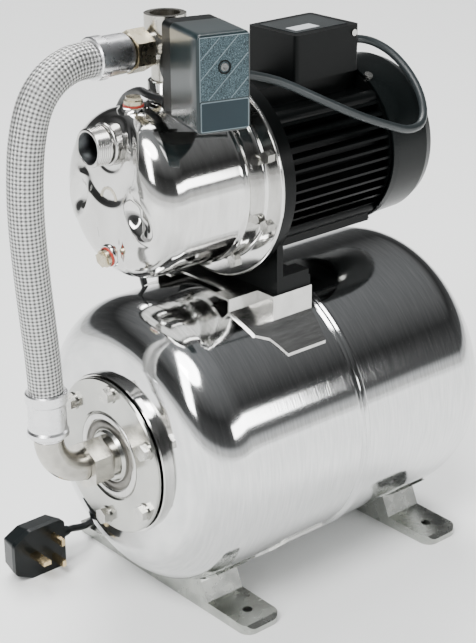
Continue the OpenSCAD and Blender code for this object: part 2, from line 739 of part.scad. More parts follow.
module cable_glands() {
  color([0.12, 0.12, 0.12]) {
    at_switch(47.5, -15, 467) rotate([-90, 0, 0]) gland_shape(14);
    at_switch(54, 22, 490) rotate([0, 90, 0]) gland_shape(14);
    translate([80, -18, 483]) rotate([0, 90, 0]) gland_shape(9.5);
  }
}

module gland_shape(h) {
  cylinder(r = 5, h = 3);
  translate([0, 0, 2.02]) cylinder(r = 8, h = 5, $fn = 6);
  translate([0, 0, 7]) cylinder(r1 = 7, r2 = 5.2, h = h - 7, $fn = 32);
}

module mains_lead() {
  color([0.12, 0.12, 0.12]) {
    cord(lead_route, lead_d / 2);
    cord(tail_route, lead_d / 2);
  }
}

module lead_coil() {
  color([0.12, 0.12, 0.12]) translate([100, 240, 0]) rotate_extrude($fn = 48)
    polygon([[31, 2], [33, 0.2], [43, 0.2], [45, 2], [45, 12.5], [43, 14.4], [33, 14.4], [31, 12.5]]);
}

// face outline of the plug, x towards the lead, y up
module plug_face(g) {
  offset(r = 6 - g) polygon([[-26, -12], [-12, -19], [19, -19], [19, 19], [-12, 19], [-26, 12]]);
}

module mains_plug() {
  color([0.1, 0.1, 0.1]) difference() {
    union() {
      translate([-211, 84, 25]) rotate([90, 0, 0]) linear_extrude(4) plug_face(0);
      hull() {
        translate([-211, 84, 25]) rotate([90, 0, 0]) translate([0, 0, -1]) linear_extrude(1)
          plug_face(0);
        translate([-211, 104, 25]) rotate([90, 0, 0]) linear_extrude(6) plug_face(4);
      }
      translate([-188, 96, 25]) rotate([0, 90, 0]) cylinder(r1 = 7, r2 = 4.6, h = 16, $fn = 32);
    }
    pin_shapes(0.02, 14);
  }
}

module pin_shapes(g, deep) {
  for (s = [-1, 1]) translate([-199.9, 80.02, 25 + s * 11.1])
    translate([-2 - g, 0, -3.2 - g]) cube([4 + 2 * g, deep, 6.4 + 2 * g]);
  translate([-222.1 - 4 - g, 80.02, 25 - 2 - g]) cube([8 + 2 * g, deep, 4 + 2 * g]);
}

module plug_pins() {
  color("gold") {
    pin_shapes(0, 13);
    for (s = [-1, 1]) translate([-201.9, 62.3, 21.8 + s * 11.1]) cube([4, 17.8, 6.4]);
    translate([-226.1, 57.3, 23]) cube([8, 22.8, 4]);
  }
}

module switch_screw() {
  color("silver") {
    at_switch(111.2, 0, 513) rotate([90, 0, 0]) difference() {
      cylinder(r = 5.3, h = 2.4, $fn = 40);
      translate([-4, -0.6, 1.4]) cube([8, 1.2, 2]);
    }
    at_switch(75, 0, 513) rotate([90, 0, 0]) cylinder(r = 2, h = 36.3, $fn = 24);
  }
}

tank_shell_front();
tank_shell_rear();
centre_seam();
neck_ring();
flange_plate();
flange_bolts();
bladder();
air_valve_stem();
air_valve_cap();
air_valve_pin();
front_foot();
rear_foot();
saddle();
pump_foot();
saddle_bolts();
pump_casing();
suction_port();
priming_plug();
drain_plug();
plug_washers();
casing_bolts();
seal_plate();
ejector_nozzle();
venturi_tube();
diffuser();
impeller();
seal_rotary();
seal_stationary();
motor_adaptor();
motor_shaft();
rotor_core();
bearing_inner();
bearing_outer();
stator_core();
windings();
motor_housing();
rear_shield();
cooling_fan();
fan_cover();
cover_screws();
terminal_box();
terminal_lid();
terminal_screws();
capacitor();
control_cable();
five_way_fitting();
swivel_nut();
hose_ferrules();
braided_hose();
tank_elbow();
union_nut();
switch_base();
switch_cover();
switch_screw();
contact_lever();
cable_glands();
mains_lead();
lead_coil();
mains_plug();
plug_pins();
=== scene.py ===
import bpy
import bmesh
import math
from math import sin, cos, pi, radians, hypot
from mathutils import Vector, Matrix


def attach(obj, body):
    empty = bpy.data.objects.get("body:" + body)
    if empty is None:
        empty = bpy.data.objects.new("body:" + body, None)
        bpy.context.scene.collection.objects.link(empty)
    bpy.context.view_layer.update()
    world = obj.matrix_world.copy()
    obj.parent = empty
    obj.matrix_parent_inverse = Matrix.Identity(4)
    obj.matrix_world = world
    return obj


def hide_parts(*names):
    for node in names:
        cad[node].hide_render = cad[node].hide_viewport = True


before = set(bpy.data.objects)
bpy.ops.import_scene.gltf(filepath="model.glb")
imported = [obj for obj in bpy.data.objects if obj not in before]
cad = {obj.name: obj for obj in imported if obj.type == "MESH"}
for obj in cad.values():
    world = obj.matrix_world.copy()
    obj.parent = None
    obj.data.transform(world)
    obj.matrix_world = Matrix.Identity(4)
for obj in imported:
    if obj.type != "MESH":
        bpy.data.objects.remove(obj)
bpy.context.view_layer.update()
MM = 0.001
PUMP_Z = 386.0
TANK_Z = 149.0
FIT_Z = 507.0
FIT_X = -113.5
STUB_UP = 48.0
TURN = radians(15)


# ---------- camera, floor and light ----------
def aim(obj, target):
    obj.rotation_euler = (Vector(target) - obj.location).to_track_quat("-Z", "Y").to_euler()


def make_camera():
    data = bpy.data.cameras.new("camera")
    cam = bpy.data.objects.new("camera", data)
    bpy.context.scene.collection.objects.link(cam)
    az, el, roll = radians(-40.87), radians(22.62), radians(-0.33)
    back = Vector((sin(az) * cos(el), -cos(az) * cos(el), sin(el)))
    right = Vector((cos(az), sin(az), 0))
    up = back.cross(right)
    r2 = right * cos(roll) + up * sin(roll)
    u2 = up * cos(roll) - right * sin(roll)
    m = Matrix((r2, u2, back)).transposed().to_4x4()
    m.translation = Vector((-0.93844, -1.04446, 0.81666))
    cam.matrix_world = m
    data.sensor_width = 36
    data.lens = 90.64
    data.shift_x = -0.0015
    data.shift_y = -0.0096
    data.clip_start, data.clip_end = 0.05, 60
    bpy.context.scene.camera = cam


def area_light(name, loc, target, size_x, size_y, power, tint=(1, 1, 1)):
    data = bpy.data.lights.new(name, "AREA")
    data.shape = "RECTANGLE"
    data.size, data.size_y = size_x, size_y
    data.energy = power
    data.color = tint
    obj = bpy.data.objects.new(name, data)
    obj.location = loc
    aim(obj, target)
    bpy.context.scene.collection.objects.link(obj)
    return obj


# ---------- materials ----------
class Mat:
    """Small helper that builds one procedural material."""

    def __init__(self, name):
        self.m = bpy.data.materials.new(name)
        self.m.use_nodes = True
        self.t = self.m.node_tree
        self.b = self.t.nodes["Principled BSDF"]
        self.co = self.t.nodes.new("ShaderNodeTexCoord")

    def node(self, kind, **kw):
        n = self.t.nodes.new(kind)
        for k, v in kw.items():
            setattr(n, k, v)
        return n

    def link(self, a, b):
        self.t.links.new(a, b)

    def noise(self, scale, detail=3, stretch=(1, 1, 1), space="Object", rough=0.5):
        mp = self.node("ShaderNodeMapping")
        mp.inputs["Scale"].default_value = stretch
        self.link(self.co.outputs[space], mp.inputs["Vector"])
        n = self.node("ShaderNodeTexNoise")
        n.inputs["Scale"].default_value = scale
        n.inputs["Detail"].default_value = detail
        n.inputs["Roughness"].default_value = rough
        self.link(mp.outputs[0], n.inputs["Vector"])
        return n.outputs["Fac"]

    def ramp(self, fac, stops):
        r = self.node("ShaderNodeValToRGB")
        e = r.color_ramp.elements
        e[0].position, e[0].color = stops[0][0], (*stops[0][1], 1)
        e[1].position, e[1].color = stops[-1][0], (*stops[-1][1], 1)
        for p, c in stops[1:-1]:
            k = e.new(p)
            k.color = (*c, 1)
        self.link(fac, r.inputs[0])
        return r.outputs[0]

    def spread(self, fac, lo, hi):
        r = self.node("ShaderNodeMapRange")
        r.inputs["To Min"].default_value = lo
        r.inputs["To Max"].default_value = hi
        self.link(fac, r.inputs["Value"])
        return r.outputs[0]

    def bump(self, fac, strength, dist=0.001, under=None):
        b = self.node("ShaderNodeBump")
        b.inputs["Strength"].default_value = strength
        b.inputs["Distance"].default_value = dist
        self.link(fac, b.inputs["Height"])
        if under is not None:
            self.link(under, b.inputs["Normal"])
        self.link(b.outputs[0], self.b.inputs["Normal"])
        return b.outputs[0]

    def math(self, op, a, b=None):
        n = self.node("ShaderNodeMath", operation=op)
        for i, v in enumerate((a, b)):
            if v is None:
                continue
            if isinstance(v, (int, float)):
                n.inputs[i].default_value = v
            else:
                self.link(v, n.inputs[i])
        return n.outputs[0]


def steel(name, light, dark, metal=1.0, r0=0.05, r1=0.14, stretch=(1, 1, 1), scale=60, bump=0.02,
          wave=0.0, wave_scale=7.0):
    k = Mat(name)
    n = k.noise(scale, 4, stretch)
    k.link(k.ramp(n, [(0.3, dark), (0.7, light)]), k.b.inputs["Base Color"])
    k.b.inputs["Metallic"].default_value = metal
    k.link(k.spread(n, r0, r1), k.b.inputs["Roughness"])
    under = None
    if wave:
        under = k.bump(k.noise(wave_scale, 1), wave, 0.01)
    k.bump(n, bump, 0.0004, under)
    return k.m


def plastic(name, light, dark, r0, r1, scale=900, bump=0.15, dist=0.0003, coat=0.0):
    k = Mat(name)
    fine = k.noise(scale, 2)
    broad = k.noise(14, 3)
    k.link(k.ramp(broad, [(0.3, dark), (0.7, light)]), k.b.inputs["Base Color"])
    k.link(k.spread(broad, r0, r1), k.b.inputs["Roughness"])
    k.b.inputs["Coat Weight"].default_value = coat
    k.bump(fine, bump, dist)
    return k.m


def make_materials():
    d = {}
    d["mirror"] = steel("mirror_steel", (0.72, 0.715, 0.70), (0.60, 0.595, 0.58), r0=0.06, r1=0.12,
                        stretch=(6, 1, 1), scale=34, bump=0.05, wave=0.07, wave_scale=11)
    d["tank"] = steel("tank_steel", (0.76, 0.76, 0.76), (0.62, 0.63, 0.63), r0=0.06, r1=0.12,
                      stretch=(14, 1, 1), scale=40, bump=0.10, wave=0.07, wave_scale=6)
    d["satin"] = steel("satin_steel", (0.64, 0.635, 0.62), (0.50, 0.495, 0.48), r0=0.16, r1=0.30,
                       stretch=(1, 8, 1), scale=60, bump=0.06)
    d["zinc"] = steel("zinc_steel", (0.60, 0.59, 0.56), (0.44, 0.44, 0.42), r0=0.18, r1=0.32,
                      scale=220, bump=0.1)
    d["nickel"] = steel("nickel_plate", (0.58, 0.56, 0.51), (0.44, 0.425, 0.39), r0=0.16, r1=0.30,
                        scale=120, bump=0.12)
    d["bright"] = steel("bright_crimp", (0.86, 0.86, 0.87), (0.76, 0.76, 0.77), r0=0.22, r1=0.34,
                        scale=90, bump=0.08)
    d["brass"] = steel("brass", (0.78, 0.62, 0.36), (0.60, 0.46, 0.26), r0=0.18, r1=0.32,
                       scale=140, bump=0.1)
    d["nut_brass"] = steel("nut_brass", (0.55, 0.50, 0.38), (0.42, 0.37, 0.27), r0=0.2, r1=0.35,
                           scale=140, bump=0.1)
    d["copper"] = steel("copper_wire", (0.66, 0.30, 0.14), (0.48, 0.20, 0.09), r0=0.25, r1=0.4,
                        stretch=(20, 1, 1), scale=120, bump=0.4)
    d["iron"] = steel("laminations", (0.34, 0.34, 0.35), (0.22, 0.22, 0.23), r0=0.35, r1=0.55,
                      stretch=(30, 1, 1), scale=90, bump=0.3)
    d["gloss_black"] = plastic("gloss_black_paint", (0.0030, 0.0036, 0.0036), (0.0014, 0.0018, 0.0018),
                               0.24, 0.34, scale=500, bump=0.08)
    d["cowl"] = plastic("fan_cover_paint", (0.0045, 0.0060, 0.0060), (0.0025, 0.0035, 0.0035), 0.22, 0.30,
                        scale=600, bump=0.03)
    d["black_plastic"] = plastic("black_plastic", (0.0045, 0.0055, 0.0055), (0.0025, 0.0030, 0.0030),
                                 0.30, 0.45,
                                 scale=1300, bump=0.25)
    d["switch_side"] = plastic("switch_side", (0.014, 0.026, 0.029), (0.008, 0.015, 0.017), 0.24, 0.34,
                               scale=700, bump=0.05)
    d["switch_front"] = stipple("switch_front")
    d["rubber"] = plastic("black_rubber", (0.018, 0.018, 0.019), (0.010, 0.010, 0.011), 0.5, 0.7,
                          scale=1500, bump=0.3)
    d["red"] = plastic("red_washer", (0.55, 0.05, 0.03), (0.38, 0.03, 0.02), 0.35, 0.5, scale=600,
                       bump=0.15)
    d["lid"] = plastic("lid_plastic", (0.0045, 0.0055, 0.0055), (0.0025, 0.0030, 0.0030), 0.30, 0.42,
                       scale=800, bump=0.1)
    d["ivory"] = plastic("ivory_plastic", (0.70, 0.66, 0.55), (0.60, 0.56, 0.46), 0.35, 0.5,
                         scale=500, bump=0.15)
    d["ceramic"] = plastic("ceramic", (0.80, 0.79, 0.75), (0.70, 0.69, 0.66), 0.15, 0.3, scale=300,
                           bump=0.05)
    d["cable"] = plastic("control_cable_sheath", (0.026, 0.032, 0.034), (0.015, 0.019, 0.020), 0.26,
                         0.40, scale=1200, bump=0.15)
    d["lead"] = plastic("mains_lead_sheath", (0.016, 0.017, 0.018), (0.008, 0.009, 0.010), 0.30, 0.45,
                        scale=1200, bump=0.15)
    d["plug"] = plastic("plug_plastic", (0.0050, 0.0070, 0.0075), (0.0030, 0.0040, 0.0045), 0.22, 0.36,
                        scale=900, bump=0.12)
    d["label"] = plastic("blank_label", (0.62, 0.64, 0.66), (0.52, 0.54, 0.56), 0.25, 0.4, scale=300,
                         bump=0.05)
    d["switch_line"] = plastic("switch_line", (0.16, 0.21, 0.23), (0.11, 0.15, 0.17), 0.45, 0.6)
    d["switch_label"] = plastic("switch_label", (0.014, 0.030, 0.038), (0.009, 0.020, 0.026), 0.5, 0.62)
    d["flange"] = steel("flange_steel", (0.54, 0.54, 0.51), (0.42, 0.42, 0.40), r0=0.14, r1=0.24,
                        scale=35, bump=0.05)
    d["foot"] = steel("foot_steel", (0.52, 0.53, 0.50), (0.36, 0.37, 0.35), r0=0.2, r1=0.34,
                      scale=55, bump=0.12)
    # painted shade: dark steel colour standing in for the dark reflection in the flange face's annular
    # recess
    d["recess"] = steel("recess_steel", (0.24, 0.23, 0.21), (0.12, 0.115, 0.105), r0=0.3, r1=0.45, scale=60)
    # painted shade: near-black steel colour for the inside of the suction bore, standing in for the shade
    # of the hollow pump body
    d["throat"] = steel("throat_steel", (0.10, 0.11, 0.11), (0.05, 0.05, 0.055), r0=0.35, r1=0.5, scale=120)
    d["dark_zinc"] = steel("dark_zinc", (0.22, 0.23, 0.23), (0.10, 0.10, 0.10), r0=0.3, r1=0.45, scale=200)
    d["lid_top"] = plastic("lid_top", (0.016, 0.020, 0.021), (0.010, 0.013, 0.014), 0.34, 0.46, scale=900,
                           bump=0.3)
    for key, level in (("gloss_black", 0.12), ("lid", 0.12), ("cowl", 0.14), ("black_plastic", 0.12),
                       ("switch_side", 0.35), ("plug", 0.22), ("lead", 0.25), ("lid_top", 0.3),
                       ("switch_label", 0.25), ("switch_front", 0.25), ("cable", 0.4)):
        d[key].node_tree.nodes["Principled BSDF"].inputs["Specular IOR Level"].default_value = level
    d["braid"] = braid_material()
    return d


def braid_material():
    """Two families of crossing strands from the hose's own U (along) and V (round) coordinates."""
    k = Mat("stainless_braid")
    sep = k.node("ShaderNodeSeparateXYZ")
    k.link(k.co.outputs["UV"], sep.inputs[0])
    u = k.math("MULTIPLY", sep.outputs[0], 2 * pi * 0.8)
    v = k.math("MULTIPLY", sep.outputs[1], 2 * pi * 13)
    a = k.math("SINE", k.math("ADD", u, v))
    b = k.math("SINE", k.math("SUBTRACT", u, v))
    weave = k.math("MULTIPLY", a, b)
    weave = k.math("ADD", k.math("MULTIPLY", weave, 0.5), 0.5)
    fine = k.math("SINE", k.math("MULTIPLY", k.math("ADD", u, v), 5.0))
    height = k.math("ADD", weave, k.math("MULTIPLY", fine, 0.08))
    k.link(k.ramp(weave, [(0.0, (0.06, 0.06, 0.058)), (0.35, (0.27, 0.27, 0.265)),
                          (0.8, (0.76, 0.76, 0.75))]), k.b.inputs["Base Color"])
    k.b.inputs["Metallic"].default_value = 0.9
    k.link(k.spread(weave, 0.5, 0.27), k.b.inputs["Roughness"])
    k.bump(height, 0.8, 0.0012)
    return k.m


def stipple(name):
    """Moulded front face: fine pale specks over dark blue grey."""
    k = Mat(name)
    n = k.noise(1500, 2, rough=0.6)
    specks = [(0.42, (0.010, 0.020, 0.024)), (0.54, (0.045, 0.075, 0.088)), (0.66, (0.13, 0.18, 0.20))]
    k.link(k.ramp(n, specks), k.b.inputs["Base Color"])
    k.link(k.spread(n, 0.5, 0.65), k.b.inputs["Roughness"])
    k.bump(n, 0.6, 0.0004)
    return k.m


# ---------- mesh helpers, all sizes in millimetres ----------
def put(name, verts, faces, mat, body="pump_set", smooth=True, uvs=None, slot=None, stands=()):
    me = bpy.data.meshes.new(name)
    me.from_pydata([tuple(c * MM for c in v) for v in verts], [], faces)
    bm = bmesh.new()
    bm.from_mesh(me)
    bmesh.ops.recalc_face_normals(bm, faces=bm.faces)
    bm.to_mesh(me)
    bm.free()
    for p in me.polygons:
        p.use_smooth = smooth
    if uvs is not None:
        lay = me.uv_layers.new(name="uv")
        for lp in me.loops:
            lay.data[lp.index].uv = uvs[lp.vertex_index]
    obj = bpy.data.objects.new(name, me)
    me.materials.append(mat)
    bpy.context.scene.collection.objects.link(obj)
    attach(obj, body)
    if stands:
        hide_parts(*stands)
    return obj


def soften(obj, width, segments=2, angle=30):
    b = obj.modifiers.new("edge", "BEVEL")
    b.width, b.segments, b.limit_method = width * MM, segments, "ANGLE"
    b.angle_limit = radians(angle)
    b.harden_normals = True
    return obj


def grid_faces(rows, cols, wrap=True):
    out = []
    for i in range(rows - 1):
        for j in range(cols if wrap else cols - 1):
            k = (j + 1) % cols
            out.append((i * cols + j, i * cols + k, (i + 1) * cols + k, (i + 1) * cols + j))
    return out


def revolve(name, prof, z, mat, n=128, y=0.0, tweak=None, **kw):
    """prof is a list of (x, radius) in mm, turned about a line along X."""
    verts = []
    for x, r in prof:
        for j in range(n):
            a = 2 * pi * j / n
            p = (x, y + r * cos(a), z + r * sin(a))
            verts.append(tweak(p) if tweak else p)
    return put(name, verts, grid_faces(len(prof), n), mat, **kw)


def refine(points, step):
    out = []
    for (x0, r0), (x1, r1) in zip(points, points[1:]):
        k = max(1, int(hypot(x1 - x0, r1 - r0) / step))
        out += [(x0 + (x1 - x0) * i / k, r0 + (r1 - r0) * i / k) for i in range(k)]
    return out + [points[-1]]


def arc(cx, cr, rad, a0, a1, n):
    """Points round (cx, cr); angle 0 is outwards and 90 is towards -X."""
    turns = [radians(a0 + (a1 - a0) * i / n) for i in range(n + 1)]
    return [(cx - rad * sin(a), cr + rad * cos(a)) for a in turns]


def catmull(pts, k):
    pts = [Vector(p) for p in pts]
    out = []
    for i in range(len(pts) - 1):
        a, b, c, d = pts[max(i - 1, 0)], pts[i], pts[i + 1], pts[min(i + 2, len(pts) - 1)]
        for j in range(k):
            t = j / k
            out.append(0.5 * (2 * b + (c - a) * t + (2 * a - 5 * b + 4 * c - d) * t * t
                              + (3 * b - a - 3 * c + d) * t ** 3))
    return out + [pts[-1]]


def sweep(name, path, radius, n, mat, **kw):
    """Round tube along a path, with U along it in mm over the pitch and V round it."""
    tang = [(path[min(i + 1, len(path) - 1)] - path[max(i - 1, 0)]).normalized() for i in range(len(path))]
    side = Vector((0, 1, 0.01))
    verts, uvs, travel = [], [], 0.0
    for i, (p, t) in enumerate(zip(path, tang)):
        side = (side - t * side.dot(t)).normalized()
        other = t.cross(side)
        travel += (path[i] - path[i - 1]).length if i else 0
        r = radius(i / (len(path) - 1)) if callable(radius) else radius
        for j in range(n):
            a = 2 * pi * j / n
            verts.append(p + side * (r * cos(a)) + other * (r * sin(a)))
            uvs.append((travel / 5.2, j / n))
    faces = grid_faces(len(path), n)
    faces += [tuple(range(n)), tuple(reversed(range((len(path) - 1) * n, len(path) * n)))]
    return put(name, verts, faces, mat, uvs=uvs, **kw)


def curve_cord(name, path, diameter, mat, body="pump_set"):
    cu = bpy.data.curves.new(name, "CURVE")
    cu.dimensions = "3D"
    cu.bevel_depth = diameter / 2 * MM
    cu.bevel_resolution = 4
    cu.use_fill_caps = True
    sp = cu.splines.new("POLY")
    sp.points.add(len(path) - 1)
    for q, p in zip(sp.points, path):
        q.co = (p.x * MM, p.y * MM, p.z * MM, 1)
    sp.use_smooth = True
    cu.materials.append(mat)
    obj = bpy.data.objects.new(name, cu)
    bpy.context.scene.collection.objects.link(obj)
    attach(obj, body)
    return obj


def at_switch(s, t, z):
    return Vector((FIT_X - s * sin(TURN) + t * cos(TURN), -s * cos(TURN) - t * sin(TURN), z))


# ---------- cords ----------
def hose_path():
    return catmull([(-191, 0, FIT_Z), (-212, 0, 505.5), (-232, 0, 496), (-247, 0, 478),
                    (-256, 0, 450), (-260, 0, 415), (-260.5, 0, 380), (-258.5, 0, 340),
                    (-255.5, 0, 300), (-252.5, 0, 262), (-251, 0, 232)], 14)


def control_path():
    return catmull([at_switch(54, 36, 490), at_switch(55, 46, 489), (-55, -76, 480), (-20, -90, 461),
                    (15, -97, 443), (50, -100, 428), (76, -100, 419), (97, -96, 419), (111, -86, 428),
                    (118, -72, 443), (119, -56, 458), (115, -40, 471), (107, -27, 479),
                    (97, -19.5, 482.5), (89.5, -18, 483)], 3)


def lead_path():
    down = catmull([at_switch(33.5, -15, 467), at_switch(25, -15.4, 467.6), (-134.4, 0, 468.5),
                    (-131, 14, 468), (-126, 34, 461), (-120, 54, 449), (-114, 72, 428),
                    (-108, 84, 402), (-101, 90, 372), (-92, 94, 340), (-80, 101, 300),
                    (-66, 106, 262), (-50, 116, 226.5), (-30, 129.5, 199), (-8, 138.5, 165),
                    (14, 140, 125), (34, 143, 85), (52, 152, 45), (68, 168, 17), (84, 186, 4.5),
                    (96, 196, 4.2)], 3)
    coil = []
    levels = [(41.2, 4.0), (41.2, 4.0), (34.2, 4.0), (34.2, 10.9), (41.2, 10.9)]
    total = 275 + 3 * 360
    steps = 4 * 18
    for i in range(2, steps + 1):
        a = total * i / steps
        f = a / 360 + 0.2
        j = min(int(f), 3)
        w = f - j
        w = min(1, max(0, (w - 0.75) / 0.25))
        w = w * w * (3 - 2 * w)
        r = levels[j][0] * (1 - w) + levels[j + 1][0] * w
        h = levels[j][1] * (1 - w) + levels[j + 1][1] * w
        coil.append(Vector((100 + r * cos(radians(a - 95)), 240 + r * sin(radians(a - 95)), h)))
    tail = catmull([coil[-1], (57, 229.7, 10.2), (51.8, 220.7, 7.6), (43.8, 214, 5.6), (26, 205, 4.5),
                    (5, 195.5, 4.5), (-40, 172, 4.5), (-75, 154, 5.5),
                    (-93, 141, 10), (-107, 129, 14), (-124, 115, 14.5), (-142, 104, 17), (-155, 98, 21),
                    (-166, 96, 24.5), (-172, 96, 25)], 3)
    return down + coil + tail[1:]


def make_cords(m):
    hose = sweep("hose_braid", hose_path(), 15.0, 64, m["braid"], slot="braid", stands=("braided_hose",))
    ctrl = curve_cord("switch_cable", control_path(), 7.5, m["cable"])
    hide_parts("control_cable")
    path = lead_path()
    lead = curve_cord("mains_cable", path, 7.0, m["lead"])
    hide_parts("mains_lead", "lead_coil")


# ---------- pieces ----------
def dress(m):
    finish = {
        "tank": "centre_seam", "mirror": "neck_ring seal_plate", "flange": "flange_plate",
        "foot": "front_foot rear_foot", "satin": "saddle impeller motor_shaft contact_lever",
        "zinc": "flange_bolts saddle_bolts casing_bolts cover_screws terminal_screws switch_screw",
        "nickel": "five_way_fitting tank_elbow union_nut", "bright": "hose_ferrules",
        "brass": "air_valve_stem air_valve_pin plug_pins",
        "nut_brass": "swivel_nut priming_plug drain_plug", "copper": "windings",
        "iron": "rotor_core stator_core bearing_inner bearing_outer",
        "gloss_black": "motor_adaptor motor_housing rear_shield", "cowl": "fan_cover",
        "black_plastic": "air_valve_cap pump_foot cooling_fan cable_glands switch_base",
        "lid": "terminal_lid terminal_box", "switch_side": "switch_cover", "red": "plug_washers",
        "rubber": "bladder seal_rotary", "ivory": "ejector_nozzle venturi_tube diffuser capacitor",
        "ceramic": "seal_stationary", "plug": "mains_plug", "cable": "control_cable",
        "lead": "mains_lead lead_coil", "braid": "braided_hose"}
    for key, names in finish.items():
        for n in names.split():
            me = cad[n].data
            me.materials.clear()
            me.materials.append(m[key])
    for key in ("tank_shell_front", "tank_shell_rear", "pump_casing", "suction_port"):
        cad[key].data.materials.clear()
        cad[key].data.materials.append(m["mirror"])


def tank(m):
    """Smooth skins for both shells, a hollow sheet with its real wall."""
    for name, s, hole, node in (("tank_skin_front", 1, 56.0, "tank_shell_front"),
                                ("tank_skin_rear", -1, 8.2, "tank_shell_rear")):
        outer = [(0, 134.0), (-60, 134.0), (-120, 134.0)] + arc(-132, 89, 45, 0, 90, 40)
        outer += [(-177.4, 82.5), (-178, 76), (-178, (76 + hole) / 2), (-178, hole)]
        inner = [(x + 1.2, r - 1.2) if r < 133.5 else (x, r - 1.2) for x, r in outer]
        inner[-1] = (-176.8, hole)
        prof = [(s * x, r) for x, r in outer + inner[::-1]]
        revolve(name, prof + [prof[0]], TANK_Z, m["tank"], n=192, slot="polished_steel", stands=(node,))


def turned(name, base, axis, prof, mat, n=64, **kw):
    """prof is a list of (distance along the axis, radius), closed round the section."""
    base, axis = Vector(base), Vector(axis).normalized()
    side = axis.orthogonal().normalized()
    other = axis.cross(side)
    verts = [base + axis * h + side * (r * cos(2 * pi * j / n)) + other * (r * sin(2 * pi * j / n))
             for h, r in prof for j in range(n)]
    return put(name, verts, grid_faces(len(prof), n), mat, **kw)


def ramp01(v, lo, hi):
    t = min(1.0, max(0.0, (v - lo) / (hi - lo)))
    return t * t * (3 - 2 * t)


def press(p):
    """How far the pressed front of the casing is set in, at a point of its surface."""
    x, y, z = p
    if x > -140:
        return p
    z -= PUMP_Z
    front = ramp01(-x, 140, 168)
    dish = 3.4 * (1 - ramp01(hypot(y, z - 34), 33, 41))
    step = 1.2 * (1 - ramp01(hypot(y, z - 46), 20, 24))
    deep = 0.0
    for s in (-1, 1):
        u = (y - s * 41) * 0.86 + s * (z + 6) * 0.5
        v = -s * (y - s * 41) * 0.5 + (z + 6) * 0.86
        d = hypot(u / 12.5, v / 21)
        deep += 7.5 * (1 - ramp01(d, 0.25, 1.05)) - 0.9 * math.exp(-((d - 1.12) / 0.12) ** 2)
    fold = 0.0
    for s in (-1, 1):
        fold += 1.3 * math.exp(-((y - s * 16 - s * 0.10 * (z + 40)) / 3.2) ** 2) * ramp01(-z, 14, 34)
    return (x + front * (dish + step + deep + fold), y, p[2])


def casing(m):
    """Polished casing as one thin pressed sheet, open where the suction stub passes through it."""
    can, nose, corner, sheet, stub_cut = 74, -150, 30, 1.3, 15.2
    flat = can - corner
    outer = refine([(-63.8, 93.5), (-66, 93.5)], 1) + refine([(-66.2, 93.3), (-66.2, 76.5)], 2)
    outer += [(-67.2, can + 0.8), (-69, can)]
    outer += refine([(-71, can), (-84, can)], 3)
    outer += [(-85.2, can + 0.3), (-86.2, can + 1.4), (-87.2, can + 2.2), (-88, can + 2.4),
              (-88.8, can + 2.2), (-89.8, can + 1.4), (-90.8, can + 0.3)]
    outer += refine([(-92, can), (nose + 1, can)], 1.5) + arc(nose, flat, corner, 0, 84, 44)
    front = [(-180 - 1.5 * (1 - r / flat), r) for r in [40 - 0.95 * i for i in range(42)]]
    outer = [(x, r) if x > -179.9 else (-180 - 1.5 * (1 - r / flat), r) for x, r in outer] + front
    inner = []
    for i, (x, r) in enumerate(outer):
        xa, ra = outer[max(i - 1, 0)]
        xb, rb = outer[min(i + 1, len(outer) - 1)]
        d = hypot(xb - xa, rb - ra) or 1
        inner.append((x - sheet * (rb - ra) / d, max(0.05, r + sheet * (xb - xa) / d)))
    n, rows = 216, len(outer)
    verts = []
    for prof in (outer, inner):
        for x, r in prof:
            for j in range(n):
                a = 2 * pi * j / n
                verts.append(press((x, r * cos(a), PUMP_Z + r * sin(a))))
    cut = set()
    for i in range(rows - 1):
        for j in range(n):
            c = Vector(verts[i * n + j]) + Vector(verts[(i + 1) * n + (j + 1) % n])
            if c.x / 2 < nose and hypot(c.y / 2, c.z / 2 - PUMP_Z - STUB_UP) < stub_cut:
                cut.add((i, j))
    faces, o = [], rows * n
    for i in range(rows - 1):
        for j in range(n):
            k = (j + 1) % n
            q = (i * n + j, i * n + k, (i + 1) * n + k, (i + 1) * n + j)
            if (i, j) not in cut:
                faces += [q, tuple(o + v for v in reversed(q))]
                for (e, f), near in (((0, 1), (i - 1, j)), ((1, 2), (i, k)), ((2, 3), (i + 1, j)),
                                     ((3, 0), (i, (j - 1) % n))):
                    if near in cut:
                        faces.append((q[f], q[e], o + q[e], o + q[f]))
    for j in range(n):
        k = (j + 1) % n
        faces.append((k, j, o + j, o + k))
    last = (rows - 1) * n
    faces += [tuple(last + j for j in range(n)), tuple(o + last + n - 1 - j for j in range(n))]
    put("casing_skin", verts, faces, m["mirror"], slot="polished_steel", stands=("pump_casing",))
    base = 66
    for name, x, r, top in (("priming_boss", -149, 11, 75), ("outlet_boss", FIT_X, 16, 92)):
        boss = [(0, r + 3.5), (6.6, r + 3), (8.2, r + 0.8), (9.5, r), (top - base - 0.6, r),
                (top - base, r - 0.6), (top - base, r - 3.4), (0, r - 3.4), (0, r + 3.5)]
        turned(name, (x, 0, PUMP_Z + base), (0, 0, 1), boss, m["mirror"])
    turned("drain_boss", (-179.4, 0, PUMP_Z - 50), (-0.98, 0, -0.1994),
           [(-3, 10.4), (0.6, 10.4), (1.5, 9.6), (1.5, 6.4), (-3, 6.4), (-3, 10.4)], m["mirror"])
    suction(m)


